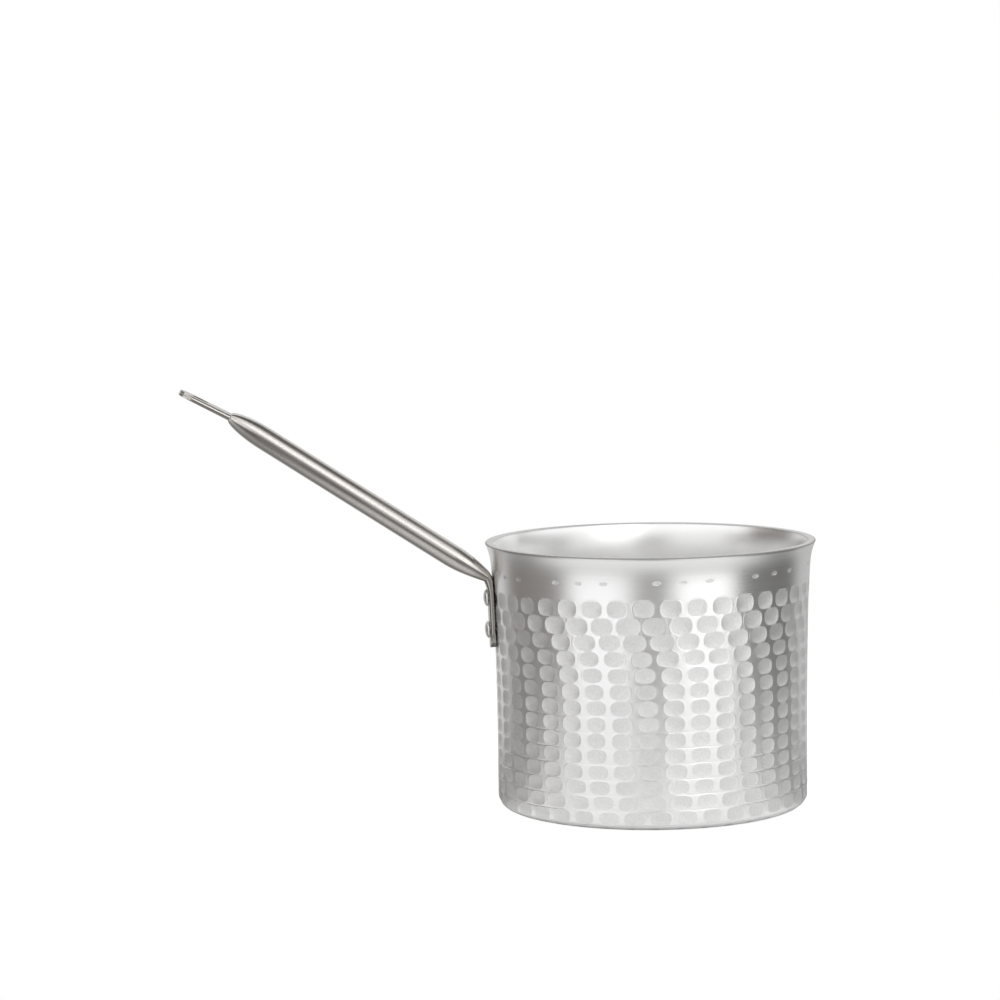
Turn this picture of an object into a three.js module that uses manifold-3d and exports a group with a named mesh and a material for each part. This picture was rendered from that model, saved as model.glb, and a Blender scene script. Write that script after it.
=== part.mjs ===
// A bain-marie pot: a hammered aluminium pot with a flared mouth, and a handle made from one
// steel tube, pressed flat at both ends and fastened to the wall by two rivets.
// Millimetres, +Z up. The origin is the centre of the base, on the surface that the pot stands on.
// The handle points along -X.
import * as THREE from "three";
import { mergeVertices } from "three/addons/utils/BufferGeometryUtils.js";
import Module from "manifold-3d";

// Driving dimensions of the pot
const POT_HEIGHT = 141.5;
const BASE_DIAMETER = 165.2; // outside, just above the base corner
const RIM_DIAMETER = 176.4; // outside, before the lip's edges are broken
const WALL_OPENING = 3; // radius that the gently opening wall gains from base to rim
const WALL_OPENING_POWER = 3;
const FLARE_HEIGHT = 22; // the mouth curls outwards over this height below the rim
const FLARE_POWER = 4;
const WALL_THICKNESS = 3.8;
const BASE_THICKNESS = 4;
const BASE_CORNER_RADIUS = 6; // outside
const INNER_CORNER_RADIUS = 4;
const LIP_EDGE_RADIUS = 0.7;

// Hammer marks: shallow dents side by side along a spiral that winds down the wall, as the blows
// fall on a turning pot
const HAMMER_TOP_DROP = 17.4; // rim down to the spiral's upper edge, where it starts
const HAMMER_START = 83.5; // degrees round from +X to that place
const HAMMER_ROW_PITCH = 8.87; // from turn to turn, at the start
const HAMMER_TIGHTENING = 0.034; // the turns draw together by this much, times turns squared
const HAMMER_PITCH = 13.7; // from dent to dent along the spiral
const HAMMER_LEVEL_TURN = 8; // here the dents of neighbouring turns stand above each other
const HAMMER_DRIFT = 0.008; // dents that a turn gains, times the square of its distance from there
const HAMMER_LAND = 2; // smooth land between two neighbours of a turn
const HAMMER_RIDGE = 0.5; // land between two turns
const HAMMER_LEAST_ROW = 2.5; // height of the last dent, where the base corner cuts the spiral off
const DENT_DEPTH = 0.45;
const DENT_SHOULDER = 0.62; // share of a dent's width that its upper and lower edges keep

// The handle: one tube, pressed flat into a flange at the pot and into a tab at the far end
const TUBE_DIAMETER = 12.2;
const TUBE_WALL = 1.2;
const PRESSED_GAP = 0.3; // slit left between the two walls where the tube is pressed flat
const HANDLE_ANGLE = 33.35; // degrees above the horizontal
const HANDLE_DROP = 19.2; // rim down to the bend where the tube leaves the flange
const TUBE_LENGTH = 162; // bend to the root of the tab
const FLANGE_LENGTH = 36.3; // bend down to the end of the flange
const FLANGE_CORNER_RADIUS = 7;
const FLANGE_BEND_RADIUS = 4.5;
const BEND_BULGE = 1; // the press leaves the flange this much thicker under the bend
const POT_NECK_HEIGHT = 5.4; // height of the tube where it leaves the bend
const POT_NECK_RISE = 0.6; // its middle stands this far above the line of the tube there
const POT_NECK_LENGTH = 24; // bend to full tube
const POT_NECK_POWER = 1;
const TAB_NECK_LENGTH = 21; // full tube to flat tab
const TAB_NECK_POWER = 0.55;
const TAB_ROOT_HEIGHT = 3.2; // height of the tube at the root of the tab
const TAB_LENGTH = 29.4;
const TAB_BEND = 5.5; // degrees that the tab dips below the line of the tube
const HANG_HOLE_DIAMETER = 9;
const HANG_HOLE_INSET = 11.4; // end of the tab to the hole's centre

// Rivets
const RIVET_SHANK_DIAMETER = 3.5;
const RIVET_HEAD_DIAMETER = 9.2;
const RIVET_HEAD_HEIGHT = 2;
const RIVET_FOOT_DIAMETER = 10; // the flat head inside the pot
const RIVET_FOOT_HEIGHT = 1.6;
const RIVET_END_INSET = 9.4; // end of the flange to the lower rivet
const RIVET_SPACING = 17;

const SEAT_GAP = 0.3; // left between pieces that sit on each other
const HOLE_CLEARANCE = 0.25; // round a rivet's shank

// Facets
const PLAIN_SEGMENTS = 48; // round the plain parts of the pot
const SECTION_POINTS = 24; // round the handle's tube
const ROUND_SEGMENTS = 20; // round rivets and holes

const wasm = await Module();
wasm.setup();

const ACROSS = new THREE.Vector3(0, 1, 0);

// Solids from geometries, and back

function solidOf(geometry) {
  const bare = geometry.clone();
  bare.deleteAttribute("normal");
  bare.deleteAttribute("uv");
  const merged = mergeVertices(bare, 1e-4);
  return new wasm.Manifold(
    new wasm.Mesh({
      numProp: 3,
      vertProperties: new Float32Array(merged.attributes.position.array),
      triVerts: new Uint32Array(merged.index.array),
    }),
  );
}

function geometryOf(solid) {
  const mesh = solid.getMesh();
  const geometry = new THREE.BufferGeometry();
  geometry.setAttribute("position", new THREE.BufferAttribute(mesh.vertProperties, 3));
  geometry.setIndex(new THREE.BufferAttribute(mesh.triVerts, 1));
  geometry.computeVertexNormals();
  return geometry;
}

function cut(geometry, cutters) {
  const solid = cutters.reduce((left, cutter) => left.subtract(solidOf(cutter)), solidOf(geometry));
  return geometryOf(solid);
}

// The wall's outside radius and its slope at a height above the base

function wallRadius(z) {
  const wallHeight = POT_HEIGHT - BASE_CORNER_RADIUS;
  const up = Math.max(0, z - BASE_CORNER_RADIUS) / wallHeight;
  const inFlare = Math.max(0, z - (POT_HEIGHT - FLARE_HEIGHT)) / FLARE_HEIGHT;
  const flare = (RIM_DIAMETER - BASE_DIAMETER) / 2 - WALL_OPENING;
  return (
    BASE_DIAMETER / 2 +
    WALL_OPENING * up ** WALL_OPENING_POWER +
    flare * inFlare ** FLARE_POWER
  );
}

function wallSlope(z) {
  const step = 0.01;
  return (wallRadius(z) - wallRadius(z - step)) / step;
}

function innerRadius(z) {
  return wallRadius(z) - WALL_THICKNESS * Math.hypot(1, wallSlope(z));
}

// A skin over chains of points. A point keeps its angle round the axis, which grows along a chain,
// and a closed chain comes back to its first point one turn on.

const TURN = 2 * Math.PI;

class ChainSkin {
  positions = [];
  triangles = [];

  point(angle, radius, z) {
    this.positions.push(radius * Math.cos(angle), radius * Math.sin(angle), z);
    return { index: this.positions.length / 3 - 1, angle };
  }

  ring(radius, z, from) {
    return Array.from({ length: PLAIN_SEGMENTS }, (_, k) =>
      this.point(from + (TURN * k) / PLAIN_SEGMENTS, radius, z),
    );
  }

  face(a, b, c) {
    this.triangles.push(a.index, b.index, c.index);
  }

  fan(centre, chain) {
    chain.forEach((point, k) => this.face(centre, point, chain[(k + 1) % chain.length]));
  }

  // Fills the strip between two chains. Their points need not stand above each other.
  strip(lower, upper) {
    let i = 0;
    let j = 0;
    while (i + 1 < lower.length || j + 1 < upper.length) {
      const lowerEnds = i + 1 === lower.length;
      const upperEnds = j + 1 === upper.length;
      const lowerMiddle = lowerEnds ? Infinity : lower[i].angle + lower[i + 1].angle;
      const upperMiddle = upperEnds ? Infinity : upper[j].angle + upper[j + 1].angle;
      if (lowerMiddle <= upperMiddle) {
        this.face(lower[i], lower[i + 1], upper[j]);
        i++;
      } else {
        this.face(lower[i], upper[j + 1], upper[j]);
        j++;
      }
    }
  }

  closedStrip(lower, upper) {
    const closed = (chain) => [...chain, { index: chain[0].index, angle: chain[0].angle + TURN }];
    this.strip(closed(lower), closed(upper));
  }

  geometry() {
    const made = new THREE.BufferGeometry();
    made.setAttribute("position", new THREE.Float32BufferAttribute(this.positions, 3));
    made.setIndex(this.triangles);
    return made;
  }
}

// The same points with their angles moved on
function movedOn(chain, angle) {
  return chain.map((point) => ({ index: point.index, angle: point.angle + angle }));
}

function arcPoints(r, z, radius, fromDegrees, toDegrees, steps) {
  const curve = new THREE.EllipseCurve(
    r, z, radius, radius,
    THREE.MathUtils.degToRad(fromDegrees), THREE.MathUtils.degToRad(toDegrees),
    toDegrees < fromDegrees,
  );
  return curve.getPoints(steps).map((p) => [p.x, p.y]);
}

// The hammered spiral: each dent is a shallow hollow with six corners on the wall and one deep point.
// A place on the spiral is given by its count of dents from the start, and lies so many turns down.

const hammerTop = POT_HEIGHT - HAMMER_TOP_DROP;
const hammerFoot = BASE_CORNER_RADIUS + HAMMER_RIDGE;
const dentsPerTurn = Math.round((Math.PI * BASE_DIAMETER) / HAMMER_PITCH);
const dentHalf = (1 - HAMMER_LAND / HAMMER_PITCH) / 2;

function turnsDown(count) {
  let turns = count / dentsPerTurn;
  for (let k = 0; k < 5; k++) {
    const drift = (turns - HAMMER_LEVEL_TURN) ** 3 + HAMMER_LEVEL_TURN ** 3;
    turns = (count - (HAMMER_DRIFT / 3) * drift) / dentsPerTurn;
  }
  return turns;
}

function spiralHeight(turns) {
  return hammerTop - HAMMER_ROW_PITCH * turns + HAMMER_TIGHTENING * turns ** 2;
}

// Upper, middle and lower heights of the spiral at a place on it
function dentHeights(turns) {
  const upper = spiralHeight(turns) - HAMMER_RIDGE / 2;
  const lower = Math.max(spiralHeight(turns + 1) + HAMMER_RIDGE / 2, hammerFoot);
  return { upper, middle: (upper + lower) / 2, lower };
}

function rowHeight(count) {
  const { upper, lower } = dentHeights(turnsDown(count));
  return upper - lower;
}

function hammerCount() {
  let count = 0;
  while (rowHeight(count + 1) >= HAMMER_LEAST_ROW) count++;
  return count;
}

// Lays the spiral's dents on the wall, from its lower end up, and gives back its upper and lower edges
// and the chain along its middle
function hammerSpiral(skin) {
  const edges = { upper: [], middle: [], lower: [] };
  const place = (count, level, depth = 0) => {
    const turns = turnsDown(count);
    const z = dentHeights(turns)[level];
    const angle = THREE.MathUtils.degToRad(HAMMER_START) - TURN * turns;
    return skin.point(angle, wallRadius(z) - depth, z);
  };
  const addEdge = (count, half) => {
    edges.lower.push(place(count + half * DENT_SHOULDER, "lower"));
    edges.middle.push(place(count + half, "middle"));
    edges.upper.push(place(count + half * DENT_SHOULDER, "upper"));
  };
  const addLand = () => {
    const last = edges.lower.length - 1;
    const corner = (level, back) => edges[level][last - back];
    skin.face(corner("lower", 1), corner("lower", 0), corner("middle", 0));
    skin.face(corner("lower", 1), corner("middle", 0), corner("middle", 1));
    skin.face(corner("middle", 1), corner("middle", 0), corner("upper", 0));
    skin.face(corner("middle", 1), corner("upper", 0), corner("upper", 1));
  };
  const count = hammerCount();
  const fullHeight = HAMMER_ROW_PITCH - HAMMER_RIDGE;
  addEdge(count, 0);
  for (let dent = count - 0.5; dent > 0; dent--) {
    addEdge(dent, dentHalf);
    addLand();
    addEdge(dent, -dentHalf);
    const deep = place(dent, "middle", (DENT_DEPTH * rowHeight(dent)) / fullHeight);
    const corners = (level) => edges[level].slice(-2);
    skin.fan(deep, [
      ...corners("lower"),
      corners("middle")[1],
      ...corners("upper").reverse(),
      corners("middle")[0],
    ]);
  }
  addEdge(0, 0);
  addLand();
  return edges;
}

// Joins each turn of the spiral to the one above, and gives back the closed chains round its foot
// and round its top, which both take in the step at an end of the spiral
function joinTurns(skin, { upper, middle, lower }) {
  const footEnd = lower.findIndex((point) => point.angle >= lower[0].angle + TURN);
  const topStart = upper.findIndex((point) => point.angle >= upper.at(-1).angle - TURN);
  skin.strip(upper.slice(0, topStart + 1), movedOn(lower.slice(footEnd - 1), -TURN));
  const foot = [...lower.slice(0, footEnd), ...movedOn([upper[0], middle[0]], TURN)];
  const top = [...upper.slice(topStart), middle.at(-1), lower.at(-1)];
  return { foot, top };
}

function potBody() {
  const skin = new ChainSkin();
  const { foot, top } = joinTurns(skin, hammerSpiral(skin));
  const lead = (0.4 * TURN) / PLAIN_SEGMENTS;
  let ringStart = foot[0].angle - lead;
  let last = null;
  const add = ([r, z]) => {
    const ring = skin.ring(r, z, ringStart);
    if (last) skin.closedStrip(last, ring);
    last = ring;
    return ring;
  };

  // Underside and base corner, with a point of each ring just before the spiral's lower end
  const cornerCentre = BASE_DIAMETER / 2 - BASE_CORNER_RADIUS;
  const corner = arcPoints(cornerCentre, BASE_CORNER_RADIUS, BASE_CORNER_RADIUS, -90, 0, 4);
  skin.fan(skin.point(0, 0, 0), add(corner[0]).toReversed());
  corner.slice(1).forEach(add);
  skin.closedStrip(last, foot);

  // The spiral stands between, and the rings above it have a point just past its upper end.
  last = top;
  ringStart = top.at(-1).angle - TURN + lead;

  // Smooth band and flare, outside
  const bandFoot = hammerTop + HAMMER_RIDGE;
  const lipFoot = POT_HEIGHT - LIP_EDGE_RADIUS;
  const bandSteps = 5;
  const bandHeights = Array.from(
    { length: bandSteps + 1 },
    (_, k) => bandFoot + (lipFoot - bandFoot) * (k / bandSteps) ** 0.7,
  );
  bandHeights.forEach((z) => add([wallRadius(z), z]));

  // Lip, trimmed level, with both edges broken
  const outerLip = wallRadius(POT_HEIGHT);
  const innerLip = innerRadius(POT_HEIGHT);
  const bevel = LIP_EDGE_RADIUS * (1 - Math.SQRT1_2);
  add([outerLip - bevel, POT_HEIGHT - bevel]);
  add([outerLip - LIP_EDGE_RADIUS, POT_HEIGHT]);
  add([innerLip + LIP_EDGE_RADIUS, POT_HEIGHT]);
  add([innerLip + bevel, POT_HEIGHT - bevel]);

  // Inside: flare, wall, corner and floor
  bandHeights.toReversed().forEach((z) => add([innerRadius(z), z]));
  const innerFoot = BASE_THICKNESS + INNER_CORNER_RADIUS;
  const wallSteps = 4;
  for (let k = 1; k < wallSteps; k++) {
    const z = bandFoot + (innerFoot - bandFoot) * (k / wallSteps);
    add([innerRadius(z), z]);
  }
  const innerCornerCentre = innerRadius(innerFoot) - INNER_CORNER_RADIUS;
  arcPoints(innerCornerCentre, innerFoot, INNER_CORNER_RADIUS, 0, -90, 3).forEach(add);
  skin.fan(skin.point(0, 0, BASE_THICKNESS), last);

  return cut(skin.geometry(), rivets.map((rivet) => rivetHole(rivet)));
}

// The handle's line, in the upright plane of the handle: s is the distance from the pot's axis

const pressedHeight = 2 * TUBE_WALL + PRESSED_GAP;
const bendHeight = POT_HEIGHT - HANDLE_DROP;
const flangeFoot = bendHeight - FLANGE_LENGTH;
const rivetHeights = {
  rivet_lower: flangeFoot + RIVET_END_INSET,
  rivet_upper: flangeFoot + RIVET_END_INSET + RIVET_SPACING,
};

// The flange lies on the wall, along the line through its two rivets.
const flangeLean =
  (wallRadius(rivetHeights.rivet_upper) - wallRadius(rivetHeights.rivet_lower)) / RIVET_SPACING;
const flangeSeat = (z) =>
  wallRadius(rivetHeights.rivet_lower) + (z - rivetHeights.rivet_lower) * flangeLean + SEAT_GAP;
const flangeMiddle = (z) => new THREE.Vector2(flangeSeat(z) + pressedHeight / 2, z);

function direction(degrees) {
  const angle = THREE.MathUtils.degToRad(degrees);
  return new THREE.Vector2(Math.cos(angle), Math.sin(angle));
}

const flangeDegrees = THREE.MathUtils.radToDeg(Math.atan2(1, flangeLean));
const tabDegrees = HANDLE_ANGLE - TAB_BEND;
const bendPoint = flangeMiddle(bendHeight);
const tabRoot = bendPoint.clone().addScaledVector(direction(HANDLE_ANGLE), TUBE_LENGTH);
const tabEnd = tabRoot.clone().addScaledVector(direction(tabDegrees), TAB_LENGTH);

// A point of the handle's plane in the part's frame, moved across by y
function inPart(point, y = 0) {
  return new THREE.Vector3(-point.x, y, point.y);
}

// Sections of the pressed tube. Its girth stays the same, so it widens where it is thinner.

function halfWidthAt(halfHeight, wall) {
  const girthRadius = (TUBE_DIAMETER - wall) / 2;
  const girthHeight = halfHeight - wall / 2;
  return girthHeight + (Math.PI / 2) * (girthRadius - girthHeight) + wall / 2;
}

// Points round a slot-shaped section, at equal steps of its girth: [up, across]
function slotPoints(halfHeight, halfWidth) {
  const flat = halfWidth - halfHeight;
  const quarterRound = (Math.PI / 2) * halfHeight;
  const girth = 4 * (flat + quarterRound);
  return Array.from({ length: SECTION_POINTS }, (_, k) => {
    const along = (girth * (k + 0.5)) / SECTION_POINTS;
    const quarter = Math.floor((4 * along) / girth);
    const inQuarter = along - (quarter * girth) / 4;
    const rest = quarter % 2 ? girth / 4 - inQuarter : inQuarter;
    const angle = Math.max(0, rest - flat) / halfHeight;
    const up = halfHeight * Math.cos(angle);
    const across = Math.min(rest, flat) + halfHeight * Math.sin(angle);
    return [quarter === 1 || quarter === 2 ? -up : up, quarter >= 2 ? -across : across];
  });
}

function neckHalfHeight(share, power, foot) {
  const full = TUBE_DIAMETER / 2;
  return foot + (full - foot) * Math.sin((Math.PI / 2) * share) ** power;
}

// Stations along the handle, from the end of the flange to the end of the tab:
// a point, the direction of the line there, half the tube's height, and how far it is bent to the wall
function handleStations() {
  const flat = pressedHeight / 2;
  const bulgeHalf = flat + BEND_BULGE / 2;
  const neckHalf = POT_NECK_HEIGHT / 2;
  const rootHalf = TAB_ROOT_HEIGHT / 2;
  const stations = [];
  const add = (point, degrees, half, saddle) => stations.push({ point, degrees, half, saddle });

  const turn = flangeDegrees - HANDLE_ANGLE;
  const bendReach = FLANGE_BEND_RADIUS * Math.tan(THREE.MathUtils.degToRad(turn / 2));
  const bendStart = bendPoint.clone().addScaledVector(direction(flangeDegrees), -bendReach);
  const bendCentre = bendStart
    .clone()
    .addScaledVector(direction(flangeDegrees - 90), FLANGE_BEND_RADIUS);
  const bulgeFoot = rivetHeights.rivet_upper + RIVET_HEAD_DIAMETER / 2 + SEAT_GAP;
  add(flangeMiddle(flangeFoot), flangeDegrees, flat, 1);
  add(flangeMiddle(bulgeFoot), flangeDegrees, flat, 1);

  // Bend, where the wall-hugging flange turns into the tube's line
  const bendSteps = 5;
  for (let k = 0; k <= bendSteps; k++) {
    const share = k / bendSteps;
    const degrees = flangeDegrees - turn * share;
    const radius = FLANGE_BEND_RADIUS + POT_NECK_RISE * share;
    const point = bendCentre.clone().addScaledVector(direction(degrees + 90), radius);
    add(point, degrees, bulgeHalf + (neckHalf - bulgeHalf) * share, 1 - share);
  }

  // Neck at the pot, straight tube, neck at the tab
  const neckSteps = 6;
  const onTube = (length) => bendPoint.clone().addScaledVector(direction(HANDLE_ANGLE), length);
  for (let k = 1; k <= neckSteps; k++) {
    const share = k / neckSteps;
    const point = onTube(bendReach + (POT_NECK_LENGTH - bendReach) * share);
    point.addScaledVector(direction(HANDLE_ANGLE + 90), POT_NECK_RISE * (1 - share));
    add(point, HANDLE_ANGLE, neckHalfHeight(share, POT_NECK_POWER, neckHalf), 0);
  }
  for (let k = neckSteps; k > 0; k--) {
    const share = (k / neckSteps) ** 2;
    const length = TUBE_LENGTH - TAB_NECK_LENGTH * share;
    add(onTube(length), HANDLE_ANGLE, neckHalfHeight(share, TAB_NECK_POWER, rootHalf), 0);
  }

  add(tabRoot, HANDLE_ANGLE - TAB_BEND / 2, rootHalf, 0);
  add(tabEnd, tabDegrees, flat, 0);
  return stations;
}

// One ring of points round the handle at a station, in the part's frame. Its upper side is the one
// that lies on the wall, where any bulge stays on the other side.
function stationRing(station, halfHeight, halfWidth) {
  const upwards = direction(station.degrees + 90);
  const bulge = station.saddle * (station.half - pressedHeight / 2);
  const seat = wallRadius(station.point.y);
  return slotPoints(halfHeight, halfWidth).map(([up, across]) => {
    const point = station.point.clone().addScaledVector(upwards, up - bulge);
    point.x -= station.saddle * (seat - Math.sqrt(seat ** 2 - across ** 2));
    return inPart(point, across);
  });
}

// A tube through two lists of rings, the outside and the bore, with a flat rim at each end
function tubeGeometry(outside, bore) {
  const points = [...outside, ...bore].flat();
  const count = SECTION_POINTS;
  const triangles = [];
  const quad = (a, b, c, d) => triangles.push(a, b, c, a, c, d);
  const boreFrom = outside.length * count;
  for (let k = 0; k < count; k++) {
    const n = (k + 1) % count;
    for (let row = 0; row + 1 < outside.length; row++) {
      const here = row * count;
      const there = here + count;
      quad(here + k, here + n, there + n, there + k);
      quad(boreFrom + here + n, boreFrom + here + k, boreFrom + there + k, boreFrom + there + n);
    }
    const end = (outside.length - 1) * count;
    quad(k, boreFrom + k, boreFrom + n, n);
    quad(end + n, boreFrom + end + n, boreFrom + end + k, end + k);
  }
  const made = new THREE.BufferGeometry().setFromPoints(points);
  made.setIndex(triangles);
  return made;
}

// A block that takes the two corners off an end of the handle, so that the end is rounded
function endCutter(end, degrees, halfWidth, cornerRadius) {
  const radius = Math.min(cornerRadius, halfWidth);
  const spare = 1;
  const wide = halfWidth + spare;
  const shape = new THREE.Shape();
  shape.moveTo(-wide, radius);
  shape.lineTo(-halfWidth, radius);
  shape.absarc(radius - halfWidth, radius, radius, Math.PI, 1.5 * Math.PI, false);
  shape.absarc(halfWidth - radius, radius, radius, 1.5 * Math.PI, 2 * Math.PI, false);
  shape.lineTo(wide, radius);
  shape.lineTo(wide, -spare);
  shape.lineTo(-wide, -spare);
  shape.closePath();
  const depth = 2 * TUBE_DIAMETER;
  const block = new THREE.ExtrudeGeometry(shape, { depth, bevelEnabled: false, curveSegments: 8 });
  block.translate(0, 0, -depth / 2);
  const inwards = inPart(direction(degrees));
  const basis = new THREE.Matrix4().makeBasis(ACROSS, inwards, ACROSS.clone().cross(inwards));
  return block.applyMatrix4(basis.setPosition(inPart(end)));
}

function hangHole() {
  const centre = tabEnd.clone().addScaledVector(direction(tabDegrees), -HANG_HOLE_INSET);
  const drill = new THREE.CylinderGeometry(
    HANG_HOLE_DIAMETER / 2, HANG_HOLE_DIAMETER / 2, TUBE_DIAMETER, ROUND_SEGMENTS,
  );
  const along = inPart(direction(tabDegrees + 90));
  drill.applyQuaternion(new THREE.Quaternion().setFromUnitVectors(ACROSS, along));
  return drill.translate(...inPart(centre));
}

function handle() {
  const stations = handleStations();
  const outside = stations.map((station) =>
    stationRing(station, station.half, halfWidthAt(station.half, TUBE_WALL)),
  );
  const bore = stations.map((station) =>
    stationRing(station, station.half - TUBE_WALL, halfWidthAt(station.half, TUBE_WALL) - TUBE_WALL),
  );
  const flatWidth = halfWidthAt(pressedHeight / 2, TUBE_WALL);
  const foot = flangeMiddle(flangeFoot);
  return cut(tubeGeometry(outside, bore), [
    endCutter(foot, flangeDegrees, flatWidth, FLANGE_CORNER_RADIUS),
    endCutter(tabEnd, tabDegrees + 180, flatWidth, flatWidth),
    hangHole(),
    ...rivets.map((rivet) => rivetHole(rivet)),
  ]);
}

// Rivets: a domed head on the flange, a shank through flange and wall, and a flat foot inside.
// Each stands on a place with its Y axis pointing out of the wall, square to the flange.

const rivets = Object.entries(rivetHeights).map(([name, z]) => ({
  name,
  position: inPart(new THREE.Vector2(flangeSeat(z), z)),
  quaternion: new THREE.Quaternion().setFromUnitVectors(
    ACROSS,
    inPart(direction(flangeDegrees - 90)).normalize(),
  ),
}));

function rivetHole(rivet) {
  const radius = RIVET_SHANK_DIAMETER / 2 + HOLE_CLEARANCE;
  const depth = 4 * (WALL_THICKNESS + pressedHeight);
  const drill = new THREE.CylinderGeometry(radius, radius, depth, ROUND_SEGMENTS);
  drill.applyQuaternion(rivet.quaternion);
  return drill.translate(...rivet.position);
}

function rivetGeometry() {
  const shank = RIVET_SHANK_DIAMETER / 2;
  const head = RIVET_HEAD_DIAMETER / 2;
  const foot = RIVET_FOOT_DIAMETER / 2;
  const headSeat = pressedHeight + SEAT_GAP;
  // The flat foot clears the hollow inside of the wall, which curves towards it.
  const hollow = BASE_DIAMETER / 2 - WALL_THICKNESS;
  const footSag = hollow - Math.sqrt(hollow ** 2 - foot ** 2);
  const footSeat = -(WALL_THICKNESS + 2 * SEAT_GAP + footSag);
  const domeRadius = (head ** 2 + RIVET_HEAD_HEIGHT ** 2) / (2 * RIVET_HEAD_HEIGHT);
  const domeCentre = headSeat + RIVET_HEAD_HEIGHT - domeRadius;
  const domeFrom = THREE.MathUtils.radToDeg(Math.asin((headSeat - domeCentre) / domeRadius));
  const footEdge = RIVET_FOOT_HEIGHT / 3;
  const profile = [
    [0, footSeat - RIVET_FOOT_HEIGHT],
    [foot - 2 * footEdge, footSeat - RIVET_FOOT_HEIGHT],
    [foot, footSeat - RIVET_FOOT_HEIGHT + 2 * footEdge],
    [foot, footSeat],
    [shank, footSeat],
    [shank, headSeat],
    ...arcPoints(0, domeCentre, domeRadius, domeFrom, 90, 5),
  ];
  profile[profile.length - 1][0] = 0;
  return new THREE.LatheGeometry(profile.map((p) => new THREE.Vector2(...p)), ROUND_SEGMENTS);
}

// Finishes and assembly

const hammeredAluminium = new THREE.MeshStandardMaterial({
  name: "hammered_aluminium", color: 0xcfd0d0, roughness: 0.34, metalness: 1,
});
const handleSteel = new THREE.MeshStandardMaterial({
  name: "handle_steel", color: 0xb9b4ab, roughness: 0.22, metalness: 1,
});
const rivetAluminium = new THREE.MeshStandardMaterial({
  name: "rivet_aluminium", color: 0xc6c7c6, roughness: 0.3, metalness: 1,
});

function piece(name, geometry, material) {
  const mesh = new THREE.Mesh(geometry, material);
  mesh.name = name;
  return mesh;
}

const pot = new THREE.Group();
pot.name = "bain_marie_pot";
pot.add(piece("pot_body", potBody(), hammeredAluminium));
pot.add(piece("handle", handle(), handleSteel));
rivets.forEach(({ name, position, quaternion }) => {
  const rivet = piece(name, rivetGeometry(), rivetAluminium);
  rivet.position.copy(position);
  rivet.quaternion.copy(quaternion);
  pot.add(rivet);
});

export default pot;
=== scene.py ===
# %% [markdown]
# # A hammered bain-marie pot
#
# A bain-marie pot is a deep vessel that warms food over hot water. This one is spun from an
# aluminium disc, hammered along a spiral, and carries a handle made from one steel tube that is
# pressed flat at both ends and riveted on.
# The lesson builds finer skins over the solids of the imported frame, in the same sizes and in
# millimetres, then gives each skin the finish of its metal.

# %% Frame
import math

import bmesh
import bpy
import numpy as np
from mathutils import Matrix, Vector


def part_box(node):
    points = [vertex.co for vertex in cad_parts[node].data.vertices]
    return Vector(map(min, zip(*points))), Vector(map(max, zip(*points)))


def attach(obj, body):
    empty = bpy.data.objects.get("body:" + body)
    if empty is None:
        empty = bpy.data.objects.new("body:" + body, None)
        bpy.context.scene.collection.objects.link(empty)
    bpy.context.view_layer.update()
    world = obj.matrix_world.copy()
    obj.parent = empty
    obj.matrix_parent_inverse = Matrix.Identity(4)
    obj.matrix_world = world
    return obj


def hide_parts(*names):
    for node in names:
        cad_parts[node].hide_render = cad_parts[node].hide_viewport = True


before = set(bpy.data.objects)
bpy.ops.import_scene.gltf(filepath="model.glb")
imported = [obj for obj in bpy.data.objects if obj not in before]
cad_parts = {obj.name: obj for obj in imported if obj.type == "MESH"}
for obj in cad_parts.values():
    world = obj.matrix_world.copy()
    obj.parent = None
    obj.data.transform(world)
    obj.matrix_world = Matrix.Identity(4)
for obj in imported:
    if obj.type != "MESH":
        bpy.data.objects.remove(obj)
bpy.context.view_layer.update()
MM = 0.001
TURN = 2 * math.pi

# %% [markdown]
# ## Camera
#
# The picture was taken from about a metre and three quarters away, a little above the rim, with a
# long lens. A long lens keeps the rim a thin ellipse. The camera stands slightly to the handle's
# side and is aimed to the left of the pot, so that pot and handle share the frame.

# %% Camera
CAMERA_SIDE = math.radians(6.5)  # round from -Y, towards the handle
CAMERA_DISTANCE = 1.73  # in metres, from the pot's axis
CAMERA_HEIGHT = 0.3333
CAMERA_AIM = math.radians(2.634)  # to the left of the pot's axis
CAMERA_DIP = math.radians(5.601)
CAMERA_ROLL = math.radians(-0.876)
CAMERA_LENS = 117.56

camera = bpy.data.objects.new("camera", bpy.data.cameras.new("camera"))
camera.data.lens = CAMERA_LENS
bpy.context.scene.collection.objects.link(camera)
towards_camera = (-math.sin(CAMERA_SIDE), -math.cos(CAMERA_SIDE), 0)
camera_place = Vector((
    CAMERA_DISTANCE * towards_camera[0],
    CAMERA_DISTANCE * towards_camera[1],
    CAMERA_HEIGHT,
))
camera.matrix_world = (
    Matrix.Translation(camera_place)
    @ Matrix.Rotation(CAMERA_AIM - CAMERA_SIDE, 4, "Z")
    @ Matrix.Rotation(math.pi / 2 - CAMERA_DIP, 4, "X")
    @ Matrix.Rotation(CAMERA_ROLL, 4, "Z")
)
bpy.context.scene.camera = camera
print("camera at", [round(side, 3) for side in camera_place])

# %% [markdown]
# ## The wall's line
#
# Spinning draws the wall up straight, lets it open a little, and curls the mouth outwards at the
# very end. Two powers of the height give that line: a slow one for the opening and a fast one for
# the flare. The same function serves the outside, the inside and the seat of the handle.

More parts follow.
